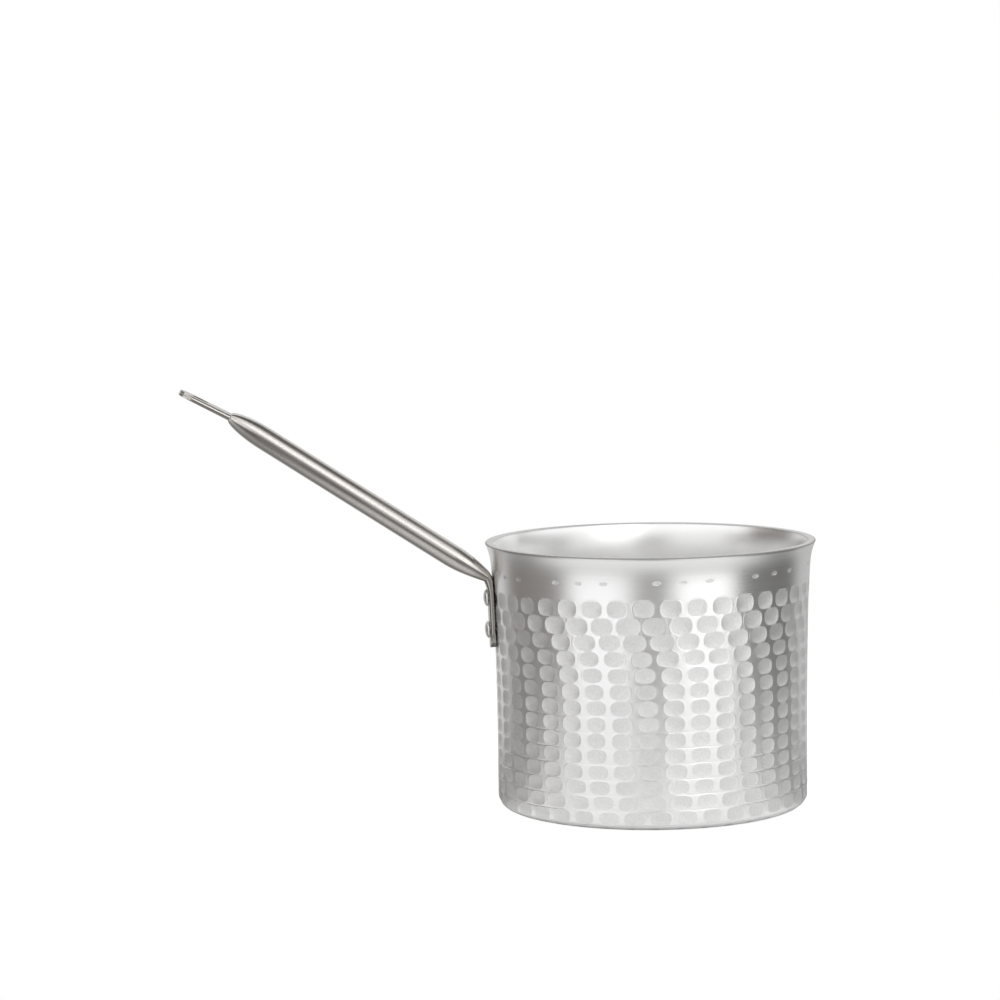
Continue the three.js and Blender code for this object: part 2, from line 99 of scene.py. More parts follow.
# %% Wall line
pot_low, pot_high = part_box("pot_body")
POT_HEIGHT = (pot_high.z - pot_low.z) / MM
LIP_RADIUS = (pot_high.y - pot_low.y) / 2 / MM
BASE_RADIUS = 82.6
WALL_OPENING = 3.0
WALL_OPENING_POWER = 3.0
FLARE_HEIGHT = 22.0
FLARE_POWER = 4.0
WALL_THICKNESS = 3.8
BASE_THICKNESS = 4.0
BASE_CORNER = 6.0
INNER_CORNER = 4.0
LIP_EDGE = 0.7  # radius of the rounding on both edges of the lip, which cuts the flare short
SLOPE_STEP = 0.01


def wall_radius(z):
    up = np.clip(z - BASE_CORNER, 0, None) / (POT_HEIGHT - BASE_CORNER)
    in_flare = np.clip(z - POT_HEIGHT + FLARE_HEIGHT, 0, None) / FLARE_HEIGHT
    flare = LIP_RADIUS + LIP_EDGE / 2 - BASE_RADIUS - WALL_OPENING
    return BASE_RADIUS + WALL_OPENING * up**WALL_OPENING_POWER + flare * in_flare**FLARE_POWER


def inner_radius(z):
    slope = (wall_radius(z) - wall_radius(z - SLOPE_STEP)) / SLOPE_STEP
    return wall_radius(z) - WALL_THICKNESS * np.hypot(1, slope)


print("pot", round(POT_HEIGHT, 1), "mm high,", round(2 * LIP_RADIUS, 1), "mm over the lip")

# %% [markdown]
# ## The hammer's spiral
#
# The pot turns slowly under a hammer that moves down, so the blows follow one long spiral and the
# rows climb a little around the wall. Marks could be set one by one, but counting turns along the
# spiral gives every blow a number, and every point of the wall its place at a blow, by formula.
# Each blow has its own luck, drawn with a fixed seed, so that it differs a little from the next.

# %% Hammer spiral
SMOOTH_BAND = 17.4  # plain wall between the mouth and the spiral, where it starts
SPIRAL_TOP = POT_HEIGHT - SMOOTH_BAND
SPIRAL_START = math.radians(83.5)
ROW_PITCH = 8.87
ROW_TIGHTENING = 0.034
BLOWS_PER_TURN = 38
LEVEL_TURN = 8  # here the blows of neighbouring rows stand above each other
BLOW_DRIFT = 0.008
LAST_TURN = 16
LUCK_SEED = 4
LUCK_COUNT = 700  # more than there are blows

blow_luck = np.random.default_rng(LUCK_SEED).uniform(-1, 1, (4, LUCK_COUNT))


def row_edge(turns):
    return SPIRAL_TOP - ROW_PITCH * turns + ROW_TIGHTENING * turns**2


def turns_at(z):
    drop = np.clip(SPIRAL_TOP - z, -2 * ROW_PITCH, None)
    return (ROW_PITCH - np.sqrt(ROW_PITCH**2 - 4 * ROW_TIGHTENING * drop)) / (2 * ROW_TIGHTENING)


def blow_count(turns):
    drift = (turns - LEVEL_TURN) ** 3 + LEVEL_TURN**3
    return BLOWS_PER_TURN * turns + BLOW_DRIFT / 3 * drift


def blow_pitch(z):
    return TURN * wall_radius(z) / BLOWS_PER_TURN


def blow_place(turns, z):
    """The blow at each point of a turn, and how far along from its middle the point lies."""
    count = blow_count(turns)
    blow = np.floor(count).astype(int)
    return blow, (count - blow - 0.5) * blow_pitch(z)


print("blows along the spiral:", int(blow_count(LAST_TURN)))

# %% [markdown]
# ## Hammer marks
#
# A bump map could fake the marks, but they catch the light as real hollows, so each one is pressed
# into the mesh. Every point of the wall asks how far it lies from its blow's middle: 0 is the middle
# and 1 the edge. The finish needs the same answer later, so it is kept. The first turns overlap like
# scales. Further down the marks stand apart, and by the base they are low and shallow. One turn
# above the spiral the hammer only touches the wall, skips every fourth blow, and leaves small
# lens-shaped marks.

# %% Hammer marks
BLOW_TURNS = (0.5, 1.5, 2.5, 3.5, 9, 11)  # the marks change between these turns, as follows
BLOW_LAND = (2.8, 1.8, 1.8, 2.7, 3.3, 2.6)  # plain wall between two blows of a row
BLOW_SQUARENESS = (2.7, 2.5, 2.5, 2.6, 2.8, 3.0)  # 2 makes oval marks, more makes them squarer
BLOW_DEPTH = (0.68, 0.68, 0.66, 0.62, 0.56, 0.44)
BLOW_TALL = (1.03, 1.08, 1.00, 0.92, 0.94, 0.88)  # height of a mark as a share of its row
BLOW_TILT = 0.6  # a mark is deeper towards its foot, by this share of its depth
BLOW_BOWL = 2.1  # 2 makes an even bowl, more a flatter floor with a steeper edge
ROW_RIDGE = 0.1  # least plain wall above a mark
LUCK_DEEP = 0.18  # luck changes a mark's depth by up to this share,
LUCK_WIDE = 0.05  # its length by up to this share,
LUCK_SLIDE = 0.3  # its place along the row
LUCK_LIFT = 0.15  # and its place up and down
TOUCH_HALF = (2.1, 0.95)  # half length and half height of the light marks above the spiral
TOUCH_DROP = 0.35  # their middles stand this far below the upper edge of their turn
TOUCH_DEPTH = 0.2
TOUCH_GROUP = 4  # of so many light blows
TOUCH_MISSED = 1  # this one leaves no mark
BEYOND = 2.0  # a reach that is clear of every mark


def mark(turns, z):
    """Reach and depth of the marks of one turn, and their luck."""
    blow, along = blow_place(turns, z)
    deep, wide, slide, lift = blow_luck[:, blow % LUCK_COUNT]
    choices = (BLOW_LAND, BLOW_SQUARENESS, BLOW_DEPTH, BLOW_TALL)
    land, power, depth, tall = (np.interp(turns, BLOW_TURNS, choice) for choice in choices)
    half_long = (blow_pitch(z) - land) / 2 * (1 + LUCK_WIDE * wide)
    half_row = (row_edge(turns) - row_edge(turns + 1)) / 2
    half_high = tall * half_row
    down = row_edge(turns) - z - np.maximum(half_high + ROW_RIDGE, half_row)
    across = np.abs((along - LUCK_SLIDE * slide) / half_long) ** power
    upright = np.abs((down - LUCK_LIFT * lift) / half_high) ** power
    reach = (across + upright) ** (1 / power)
    reach = np.where((turns >= 0) & (turns < LAST_TURN), reach, BEYOND)
    foot = np.clip(down / half_high, -1, 1)
    return reach, depth * (1 + LUCK_DEEP * deep) * (1 + BLOW_TILT * foot), deep


def touch(turns, z):
    """Reach of the light marks, one turn above the spiral."""
    blow, along = blow_place(turns, z)
    down = row_edge(turns) - z - TOUCH_DROP
    reach = np.hypot(along / TOUCH_HALF[0], down / TOUCH_HALF[1])
    touched = (turns > -1) & (turns < 0) & (blow % TOUCH_GROUP != TOUCH_MISSED)
    return np.where(touched, reach, BEYOND)


def hammering(angle, z):
    """Depth below the plain wall, reach from a mark's middle, and luck."""
    turns = turns_at(z)
    turns = turns - (turns - (SPIRAL_START - angle) / TURN) % 1
    reach, depth, luck = mark(turns, z)
    older = mark(turns - 1, z)
    covered = reach < 1
    reach = np.where(covered, reach, np.minimum(older[0], reach))
    depth = np.where(covered, depth, older[1])
    luck = np.where(covered, luck, older[2])
    light = np.minimum(touch(turns, z), touch(turns + 1, z))
    depth = np.where(light < 1, TOUCH_DEPTH, depth)
    reach = np.clip(np.minimum(reach, light), 0, BEYOND)
    return depth * np.clip(1 - reach**BLOW_BOWL, 0, None), reach, luck


print("marks", min(BLOW_DEPTH), "to", max(BLOW_DEPTH), "mm deep, light ones", TOUCH_DEPTH, "mm")

# %% [markdown]
# ## A skin over rings
#
# Everything round here is a skin over rings of points: the wall, the tube and the rivets. One helper
# joins neighbouring rings, also where a fine ring meets a coarser one, so that the smooth inside
# needs fewer points than the hammered outside.

# %% Skin helpers


def ring(radius, z, columns):
    angle = np.arange(columns) * TURN / columns
    return np.stack([radius * np.cos(angle), radius * np.sin(angle), z + 0 * angle], axis=1)


def arc(r, z, radius, start, stop, steps):
    """Points (r, z) along an arc, from one angle in degrees to another."""
    angle = np.radians(np.linspace(start, stop, steps + 1))
    return np.stack([r + radius * np.cos(angle), z + radius * np.sin(angle)], axis=1)


def ring_faces(low, high, low_from, high_from):
    """Faces between two rings with low and high points, whose points are numbered from two places."""
    coarse = min(low, high)
    low_step = low // coarse
    high_step = high // coarse
    faces = []
    for k in range(coarse):
        below = [low_from + (k * low_step + i) % low for i in range(low_step + 1)]
        above = [high_from + (k * high_step + i) % high for i in range(high_step + 1)]
        faces.append(below + above[::-1])
    return faces


def piece_from(name, points, faces):
    mesh = bpy.data.meshes.new(name)
    mesh.from_pydata((np.asarray(points) * MM).tolist(), [], faces)
    mesh.validate()
    mesh.shade_smooth()
    piece = bpy.data.objects.new(name, mesh)
    bpy.context.scene.collection.objects.link(piece)
    return piece


def skin(name, rings, capped=True):
    """A piece over a list of rings, in order, with both ends closed if capped."""
    starts = np.cumsum([0] + [len(points) for points in rings]).tolist()
    faces = []
    for k in range(len(rings) - 1):
        faces += ring_faces(len(rings[k]), len(rings[k + 1]), starts[k], starts[k + 1])
    if capped:
        faces.append(list(range(len(rings[0])))[::-1])
        faces.append(list(range(starts[-2], starts[-1])))
    return piece_from(name, np.concatenate(rings), faces)


print("between rings of 4 and 8 points:", len(ring_faces(4, 8, 0, 4)), "faces")

# %% [markdown]
# ## The pot's outside
#
# The skin starts in the middle of the underside and goes round the base corner and up the hammered
# wall. The hammered stretch has fourteen columns and about nine rows to each blow, which is enough
# to round the hollows. The plain underside has a quarter of the columns.

# %% Pot outside
COLUMNS_PER_BLOW = 14
WALL_COLUMNS = BLOWS_PER_TURN * COLUMNS_PER_BLOW
PLAIN_COLUMNS = WALL_COLUMNS // 4
ROW_STEP = 1.0
TOUCH_STEP = 0.5  # finer rows where the small light marks are
TOUCH_BAND = (122.5, 132.5)
HAMMER_FOOT = 1.2  # below this height, on the base corner, there are no marks
HAMMER_FADE = 1.0  # so much higher up they have their full depth
FLAT_RADII = (2, 20, 40, 60)  # rings of the underside and of the floor
CORNER_INSET = 1.0  # from the underside's last ring to the base corner
CORNER_STEPS = 9


def heights(low, high, step):
    return np.linspace(low, high, round((high - low) / step), endpoint=False)


corner = arc(BASE_RADIUS - BASE_CORNER, BASE_CORNER, BASE_CORNER, -90, 0, CORNER_STEPS)
lip_foot = POT_HEIGHT - LIP_EDGE
wall_heights = np.concatenate([
    heights(BASE_CORNER, TOUCH_BAND[0], ROW_STEP),
    heights(*TOUCH_BAND, TOUCH_STEP),
    heights(TOUCH_BAND[1], lip_foot, ROW_STEP),
    [lip_foot],
])
outside = [*corner[:-1], *((wall_radius(z), z) for z in wall_heights)]

rings = [ring(r, 0, PLAIN_COLUMNS) for r in (*FLAT_RADII, corner[0][0] - CORNER_INSET)]
underside_rings = len(rings)
column_angles = np.arange(WALL_COLUMNS) * TURN / WALL_COLUMNS
hammer_answers = []
for r, z in outside:
    depth, *answers = hammering(column_angles, z + 0 * column_angles)
    hammer_answers.append(answers)
    fade = np.clip((z - HAMMER_FOOT) / HAMMER_FADE, 0, 1)
    rings.append(ring(r - fade * depth, z, WALL_COLUMNS))
print("rings outside:", len(rings))

# %% [markdown]
# ## The pot's lip and inside
#
# The lip is a narrow flat between two rounded edges. Behind it the skin goes down the plain inside to
# the floor, so that it closes into one solid shell with the real thickness of the metal. The marks'
# reach and luck go with the wall's points as two attributes, for the finish.

# %% Pot skin
LIP_STEPS = 4  # rings over each edge of the lip
INSIDE_STEPS = 39
INSIDE_CROWDING = 1.4  # 1 spaces the inside's rings evenly, more puts them closer at the mouth
INNER_CORNER_STEPS = 6

outer_lip = wall_radius(lip_foot) - LIP_EDGE
inner_lip = inner_radius(lip_foot) + LIP_EDGE
lip = [
    *arc(outer_lip, lip_foot, LIP_EDGE, 0, 90, LIP_STEPS)[1:],
    *arc(inner_lip, lip_foot, LIP_EDGE, 90, 180, LIP_STEPS),
]
rings += [ring(r, z, WALL_COLUMNS) for r, z in lip]
inner_foot = BASE_THICKNESS + INNER_CORNER
inside_shares = np.linspace(0, 1, INSIDE_STEPS + 1)[1:-1] ** INSIDE_CROWDING
inner_heights = lip_foot + (inner_foot - lip_foot) * inside_shares
rings += [ring(inner_radius(z), z, PLAIN_COLUMNS) for z in inner_heights]
floor_radius = inner_radius(inner_foot) - INNER_CORNER
inner_corner = arc(floor_radius, inner_foot, INNER_CORNER, 0, -90, INNER_CORNER_STEPS)
rings += [ring(r, z, PLAIN_COLUMNS) for r, z in inner_corner]
rings += [ring(r, BASE_THICKNESS, PLAIN_COLUMNS) for r in FLAT_RADII[::-1]]

pot = skin("hammered_pot", rings)
mark_reach, mark_luck = np.array(hammer_answers).transpose(1, 0, 2).reshape(2, -1)
hammer_from = underside_rings * PLAIN_COLUMNS
for label, wall_values, elsewhere in (
    ("mark_reach", mark_reach, BEYOND),
    ("mark_luck", mark_luck, 0.0),
):
    values = np.full(len(pot.data.vertices), elsewhere, dtype=np.float32)
    values[hammer_from:hammer_from + len(wall_values)] = wall_values
    pot.data.attributes.new(label, "FLOAT", "POINT").data.foreach_set("value", values)
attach(pot, "root")
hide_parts("pot_body")
print("pot:", len(pot.data.polygons), "faces")

# %% [markdown]
# ## The handle's line
#
# The handle starts as a round tube. A press flattens one end, which is bent down into a flange that
# lies on the wall, and flattens the other end into a tab. A curve with a bevel could draw a tube of
# one section, but here the section changes all the way, so the line is kept as points and directions
# in the handle's own plane, as (out, up).

# %% Handle line
TUBE_DIAMETER = 12.2
TUBE_WALL = 1.2
PRESSED_GAP = 0.3
HANDLE_ANGLE = 33.35
HANDLE_DROP = 19.2
TUBE_LENGTH = 162.0
FLANGE_LENGTH = 36.3
BEND_RADIUS = 4.5
TAB_LENGTH = 29.4
TAB_BEND = 5.5
SEAT_GAP = 0.3

pressed = 2 * TUBE_WALL + PRESSED_GAP
bend_height = POT_HEIGHT - HANDLE_DROP
flange_foot = bend_height - FLANGE_LENGTH
rivet_heights = {
    name: sum(end.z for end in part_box(name)) / 2 / MM for name in ("rivet_lower", "rivet_upper")
}
low_rivet, high_rivet = rivet_heights.values()
flange_lean = (wall_radius(high_rivet) - wall_radius(low_rivet)) / (high_rivet - low_rivet)


def flange_seat(z):
    return wall_radius(low_rivet) + (z - low_rivet) * flange_lean + SEAT_GAP


def flange_middle(z):
    return np.array([flange_seat(z) + pressed / 2, z])


def direction(degrees):
    return np.array([math.cos(math.radians(degrees)), math.sin(math.radians(degrees))])


flange_degrees = math.degrees(math.atan2(1, flange_lean))
tab_degrees = HANDLE_ANGLE - TAB_BEND
bend_point = flange_middle(bend_height)
bend_degrees = flange_degrees - HANDLE_ANGLE
bend_reach = BEND_RADIUS * math.tan(math.radians(bend_degrees / 2))
bend_start = bend_point - bend_reach * direction(flange_degrees)
bend_centre = bend_start + BEND_RADIUS * direction(flange_degrees - 90)
tab_root = bend_point + TUBE_LENGTH * direction(HANDLE_ANGLE)
tab_end = tab_root + TAB_LENGTH * direction(tab_degrees)
print("handle reaches", np.round(tab_end, 1), "mm out and up")

# %% [markdown]
# ## Sections of the pressed tube
#
# Each section is a slot: two flats joined by round sides. Metal isn't stretched much in a press, so
# the girth stays the same: where the tube is thinner it is wider. That one rule gives every section
# from round to flat. On the flange the sections curve to the wall.

# %% Section helpers
SECTION_POINTS = 64


def half_width(half_height):
    girth_radius = (TUBE_DIAMETER - TUBE_WALL) / 2
    girth_height = half_height - TUBE_WALL / 2
    return girth_height + math.pi / 2 * (girth_radius - girth_height) + TUBE_WALL / 2


def slot_points(half_high, half_wide):
    """Points round a slot, at equal steps of its girth, as (up, across)."""
    flat = half_wide - half_high
    quarter = flat + math.pi / 2 * half_high
    along = (np.arange(SECTION_POINTS) + 0.5) * 4 * quarter / SECTION_POINTS
    part = np.floor(along / quarter).astype(int)
    rest = along - part * quarter
    rest = np.where(part % 2 == 1, quarter - rest, rest)
    angle = np.clip(rest - flat, 0, None) / half_high
    up = half_high * np.cos(angle) * np.where((part == 1) | (part == 2), -1, 1)
    across = (np.minimum(rest, flat) + half_high * np.sin(angle)) * np.where(part >= 2, -1, 1)
    return up, across


def section_ring(station, inset):
    """Points of one section, drawn in by inset from the tube's outside."""
    point, degrees, half, saddle = station
    up, across = slot_points(half - inset, half_width(half) - inset)
    away = saddle * (half - pressed / 2)
    s, z = point[:, None] + direction(degrees + 90)[:, None] * (up - away)
    seat = wall_radius(point[1])
    s = s - saddle * (seat - np.sqrt(seat**2 - across**2))
    return np.stack([-s, across, z], axis=1)


print("pressed flat, the tube is", round(2 * half_width(pressed / 2), 1), "mm wide")

# %% [markdown]
# ## Stations along the handle
#
# A station is a place for one section: its point, its direction, half its height, and how far it
# curves to the wall, from 0 to 1. They stand closer where the shape changes fast, at the bend and at
# both necks, and further apart on the plain tube.

# %% Handle stations
BULGE_LENGTH = 4.0  # the flange swells over this length, below the bend
BEND_BULGE = 1.0
POT_NECK_HEIGHT = 5.4
POT_NECK_RISE = 0.6
POT_NECK_LENGTH = 24.0
TAB_NECK_LENGTH = 21.0
TAB_NECK_POWER = 0.55
TAB_ROOT_HEIGHT = 3.2
STATION_COUNTS = {
    "flange": 8, "bulge": 4, "bend": 15, "pot_neck": 21, "tube": 28, "tab_neck": 25, "tab": 13,
}

flat_half = pressed / 2
bulge_half = flat_half + BEND_BULGE / 2
neck_half = POT_NECK_HEIGHT / 2
root_half = TAB_ROOT_HEIGHT / 2
bulge_foot = bend_start[1] - BULGE_LENGTH


def between(start, stop, share):
    return start + (stop - start) * share


def swelling(share, foot, power):
    """Half the height in a neck, from its foot at 0 to the round tube at 1."""
    return between(foot, TUBE_DIAMETER / 2, math.sin(math.pi / 2 * share) ** power)


def on_tube(length, rise=0.0):
    """A point of the tube's line, so far from the bend, or a little above the line."""
    return bend_point + length * direction(HANDLE_ANGLE) + rise * direction(HANDLE_ANGLE + 90)


def flange_stations():
    for z in np.linspace(flange_foot, bulge_foot, STATION_COUNTS["flange"]):
        yield flange_middle(z), flange_degrees, flat_half, 1
    for share in np.linspace(0, 1, STATION_COUNTS["bulge"] + 2)[1:-1]:
        z = between(bulge_foot, bend_start[1], share)
        yield flange_middle(z), flange_degrees, between(flat_half, bulge_half, share), 1
    for share in np.linspace(0, 1, STATION_COUNTS["bend"]):
        degrees = flange_degrees - bend_degrees * share
        point = bend_centre + (BEND_RADIUS + POT_NECK_RISE * share) * direction(degrees + 90)
        yield point, degrees, between(bulge_half, neck_half, share), 1 - share


def tube_stations():
    for share in np.linspace(0, 1, STATION_COUNTS["pot_neck"] + 1)[1:]:
        point = on_tube(between(bend_reach, POT_NECK_LENGTH, share), POT_NECK_RISE * (1 - share))
        yield point, HANDLE_ANGLE, swelling(share, neck_half, 1), 0
    plain_tube = (POT_NECK_LENGTH, TUBE_LENGTH - TAB_NECK_LENGTH)
    for length in np.linspace(*plain_tube, STATION_COUNTS["tube"] + 2)[1:-1]:
        yield on_tube(length), HANDLE_ANGLE, TUBE_DIAMETER / 2, 0
    for share in np.linspace(1, 0, STATION_COUNTS["tab_neck"] + 1)[:-1] ** 2:
        point = on_tube(TUBE_LENGTH - TAB_NECK_LENGTH * share)
        yield point, HANDLE_ANGLE, swelling(share, root_half, TAB_NECK_POWER), 0


def tab_stations():
    yield tab_root, HANDLE_ANGLE - TAB_BEND / 2, root_half, 0
    for share in np.linspace(0, 1, STATION_COUNTS["tab"] + 1)[1:]:
        yield between(tab_root, tab_end, share), tab_degrees, between(root_half, flat_half, share), 0


stations = [*flange_stations(), *tube_stations(), *tab_stations()]
print("handle sections:", len(stations))

# %% [markdown]
# ## Stamping
#
# The press also stamps the ends round and punches a hole. Those shapes could be modelled into the
# sections, but a cut with a prism is what the press does, and it keeps the edges sharp. Each cutter
# here is a flat outline made deep, and a boolean takes it away.

# %% Stamping helpers
HOLE_STEPS = 48
END_STEPS = 24
CUT_MARGIN = 1.0  # a cutter reaches so far past the edge it cuts


def in_part(point, across=0.0):
    return Vector((-point[0], across, point[1])) * MM


def cutter_from(outline, depth, matrix):
    """A prism over an outline of (x, y) points, as deep as given, both in millimetres."""
    count = len(outline)
    points = [(x, y, z) for z in (-depth / 2, depth / 2) for x, y in outline]
    faces = [list(range(count))[::-1], list(range(count, 2 * count))]
    faces += ring_faces(count, count, 0, count)
    cutter = piece_from("cutter", points, faces)
    cutter.data.transform(matrix)
    return cutter


def end_cutter(end, degrees, half_wide, corner_radius):
    """Takes the corners off an end. The direction points from the end into the handle."""
    radius = min(corner_radius, half_wide)
    wide = half_wide + CUT_MARGIN
    round_side = arc(half_wide - radius, radius, radius, -90, 0, END_STEPS)
    outline = [(-wide, -CUT_MARGIN), (wide, -CUT_MARGIN), (wide, radius)]
    outline += [*round_side[::-1], *(round_side * (-1, 1)), (-wide, radius)]
    into = in_part(direction(degrees)).normalized()
    across = Vector((0, 1, 0))
    turned = Matrix((across, into, across.cross(into))).transposed().to_4x4()
    return cutter_from(outline, 2 * TUBE_DIAMETER, Matrix.Translation(in_part(end)) @ turned)


def drill(place, along, diameter, depth):
    outline = arc(0, 0, diameter / 2, 0, 360, HOLE_STEPS)[:-1]
    turned = Vector((0, 0, 1)).rotation_difference(along).to_matrix().to_4x4()
    return cutter_from(outline, depth, Matrix.Translation(place) @ turned)


def cut_away(piece, cutters):
    for cutter in cutters:
        cut = piece.modifiers.new("cut", "BOOLEAN")
        cut.operation = "DIFFERENCE"
        cut.solver = "EXACT"
        cut.object = cutter
    depsgraph = bpy.context.evaluated_depsgraph_get()
    cut_mesh = bpy.data.meshes.new_from_object(piece.evaluated_get(depsgraph))
    piece.modifiers.clear()
    piece.data = cut_mesh
    for cutter in cutters:
        bpy.data.objects.remove(cutter)


print("a stamped hole has", HOLE_STEPS, "sides")

# %% [markdown]
# ## The handle
#
# The tube is open inside, also where it is pressed, so its skin goes along the outside and back
# along the bore. Welding the seam closes it. Then the end of the flange, the round end of the tab and
# the hanging hole are stamped out.

# %% Handle skin
FLANGE_CORNER = 7.0
HANG_HOLE = 9.0
HANG_HOLE_INSET = 11.4
WELD_DISTANCE = 1e-7
HANDLE_CREASE = math.radians(35)  # edges sharper than this are shaded sharp

outer = [section_ring(station, 0) for station in stations]
bore = [section_ring(station, TUBE_WALL) for station in stations]
handle = skin("tube_handle", [*outer, *bore[::-1], outer[0]], capped=False)
weld = bmesh.new()
weld.from_mesh(handle.data)
bmesh.ops.remove_doubles(weld, verts=weld.verts, dist=WELD_DISTANCE)
bmesh.ops.recalc_face_normals(weld, faces=weld.faces)
weld.to_mesh(handle.data)
weld.free()
flat_half_wide = half_width(flat_half)
hole_place = tab_end - HANG_HOLE_INSET * direction(tab_degrees)
cut_away(handle, [
    end_cutter(flange_middle(flange_foot), flange_degrees, flat_half_wide, FLANGE_CORNER),
    end_cutter(tab_end, tab_degrees + 180, flat_half_wide, flat_half_wide),
    drill(in_part(hole_place), in_part(direction(tab_degrees + 90)), HANG_HOLE, TUBE_DIAMETER),
])
handle.data.set_sharp_from_angle(angle=HANDLE_CREASE)
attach(handle, "root")
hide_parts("handle")
print("handle:", len(handle.data.polygons), "faces")

# %% [markdown]
# ## Rivets
#
# Each rivet has a domed head on the flange, a shank and a flat foot inside the pot. A sphere would
# make too high a head, so a turned profile makes the whole rivet, with small arcs where a hammer or a
# die leaves no sharp edge.

# %% Rivets
RIVET_SHANK = 1.75
RIVET_HEAD = 4.6
RIVET_HEAD_HEIGHT = 2.0
RIVET_FOOT = 5.0
RIVET_FOOT_HEIGHT = 1.6
RIVET_COLUMNS = 48
RIVET_CREASE = math.radians(50)
FOOT_RADII = (0.3, 2)  # the first rings of the foot's flat
FOOT_STEPS = 6
HEAD_STEPS = 14
HEAD_ARC = 86  # in degrees, so that the dome ends in a small ring, which a cap closes


def rivet_profile():
    """(radius, height out of the wall) from the foot's middle to the head's middle."""
    head_seat = pressed + SEAT_GAP
    hollow = BASE_RADIUS - WALL_THICKNESS
    sag = hollow - math.sqrt(hollow**2 - RIVET_FOOT**2)
    foot_seat = -(WALL_THICKNESS + 2 * SEAT_GAP + sag)
    foot_edge = RIVET_FOOT_HEIGHT / 2
    foot_end = foot_seat - RIVET_FOOT_HEIGHT
    dome = arc(0, 0, 1, 0, HEAD_ARC, HEAD_STEPS) * (RIVET_HEAD, RIVET_HEAD_HEIGHT)
    return [
        *((r, foot_end) for r in FOOT_RADII),
        *arc(RIVET_FOOT - foot_edge, foot_end + foot_edge, foot_edge, -90, 0, FOOT_STEPS),
        (RIVET_FOOT, foot_seat),
        (RIVET_SHANK, foot_seat),
        (RIVET_SHANK, head_seat),
        *(dome + (0, head_seat)),
    ]


out_of_wall = in_part(direction(flange_degrees - 90)).normalized()
lean = Vector((0, 0, 1)).rotation_difference(out_of_wall).to_matrix().to_4x4()
rivets = []
for name, height in rivet_heights.items():
    rivet = skin("set_" + name, [ring(r, z, RIVET_COLUMNS) for r, z in rivet_profile()])
    rivet.data.transform(Matrix.Translation(in_part((flange_seat(height), height))) @ lean)
    rivet.data.set_sharp_from_angle(angle=RIVET_CREASE)
    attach(rivet, "root")
    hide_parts(name)
    rivets.append(rivet)
print("rivets at", {name: round(height, 1) for name, height in rivet_heights.items()})

# %% [markdown]
# ## Node helpers
#
# Materials are node trees. A short helper makes a node, sets its plain values and links whatever
# comes from other nodes, so that a finish reads as a list of its layers.

# %% Node helpers


def add_node(tree, kind, inputs=None, **settings):
    """A node with its settings, and with inputs given as values or as sockets of other nodes."""
    node = tree.nodes.new(kind)
    for name, value in settings.items():
        setattr(node, name, value)
    for key, value in (inputs or {}).items():
        if isinstance(value, bpy.types.NodeSocket):
            tree.links.new(value, node.inputs[key])
        else:
            node.inputs[key].default_value = value
    return node


def math_node(tree, operation, *values):
    return add_node(tree, "ShaderNodeMath", dict(enumerate(values)), operation=operation).outputs[0]


def product(tree, value, *factors):
    for factor in factors:
        value = math_node(tree, "MULTIPLY", value, factor)
    return value


def layered(tree, value, *layers):
    """A value with layers added to it, each given with the measure it counts in."""
    for layer, measure in layers:
        value = math_node(tree, "MULTIPLY_ADD", layer, measure, value)
    return value


def vector_value(tree, operation, *vectors):
    inputs = dict(enumerate(vectors))
    return add_node(tree, "ShaderNodeVectorMath", inputs, operation=operation).outputs["Value"]


def smooth_step(tree, value, low, high):
    """0 below low and 1 above high, or the other way round where low is the larger."""
    falling = low > high
    inputs = {"Value": value, "From Min": min(low, high), "From Max": max(low, high)}
    inputs.update({"To Min": 1.0 if falling else 0.0, "To Max": 0.0 if falling else 1.0})
    return add_node(tree, "ShaderNodeMapRange", inputs, interpolation_type="SMOOTHSTEP").outputs[0]


def noise(tree, place, scale, detail, roughness=0.5):
    """Noise about 0.5, with the scale in features to the metre."""
    inputs = {"Vector": place, "Scale": scale, "Detail": detail, "Roughness": roughness}
    return add_node(tree, "ShaderNodeTexNoise", inputs).outputs[0]


def colour_mix(tree, share, first, second, **settings):
    """Mixes two colours, given as three numbers each or as sockets of other nodes."""
    ends = [end if isinstance(end, bpy.types.NodeSocket) else (*end, 1) for end in (first, second)]
    inputs = {0: share, 6: ends[0], 7: ends[1]}
    return add_node(tree, "ShaderNodeMix", inputs, data_type="RGBA", **settings).outputs[2]


def around_axis(tree):
    """The place on the pot, its distance from the axis and its height, in metres."""
    place = add_node(tree, "ShaderNodeTexCoord").outputs["Object"]
    x, y, z = add_node(tree, "ShaderNodeSeparateXYZ", {0: place}).outputs
    level = add_node(tree, "ShaderNodeCombineXYZ", {0: x, 1: y}).outputs[0]
    return place, vector_value(tree, "LENGTH", level), z


def new_material(name):
    material = bpy.data.materials.new(name)
    material.use_nodes = True
    tree = material.node_tree
    return material, tree, tree.nodes["Principled BSDF"]


def new_group(name, inputs, outputs):
    """An empty node group with named numbers for inputs and outputs, and its two end nodes."""
    group = bpy.data.node_groups.new(name, "ShaderNodeTree")
    for label, value in inputs.items():
        socket = group.interface.new_socket(label, in_out="INPUT", socket_type="NodeSocketFloat")
        socket.default_value = value
    for label in outputs:
        group.interface.new_socket(label, in_out="OUTPUT", socket_type="NodeSocketFloat")
    print("group:", name, "puts out", ", ".join(outputs))
    return group, group.nodes.new("NodeGroupInput"), group.nodes.new("NodeGroupOutput")


def place_group(tree, group, **values):
    node = tree.nodes.new("ShaderNodeGroup")
    node.node_tree = group
    for label, value in values.items():
        node.inputs[label.replace("_", " ")].default_value = value
    return node


print("node helpers are ready")

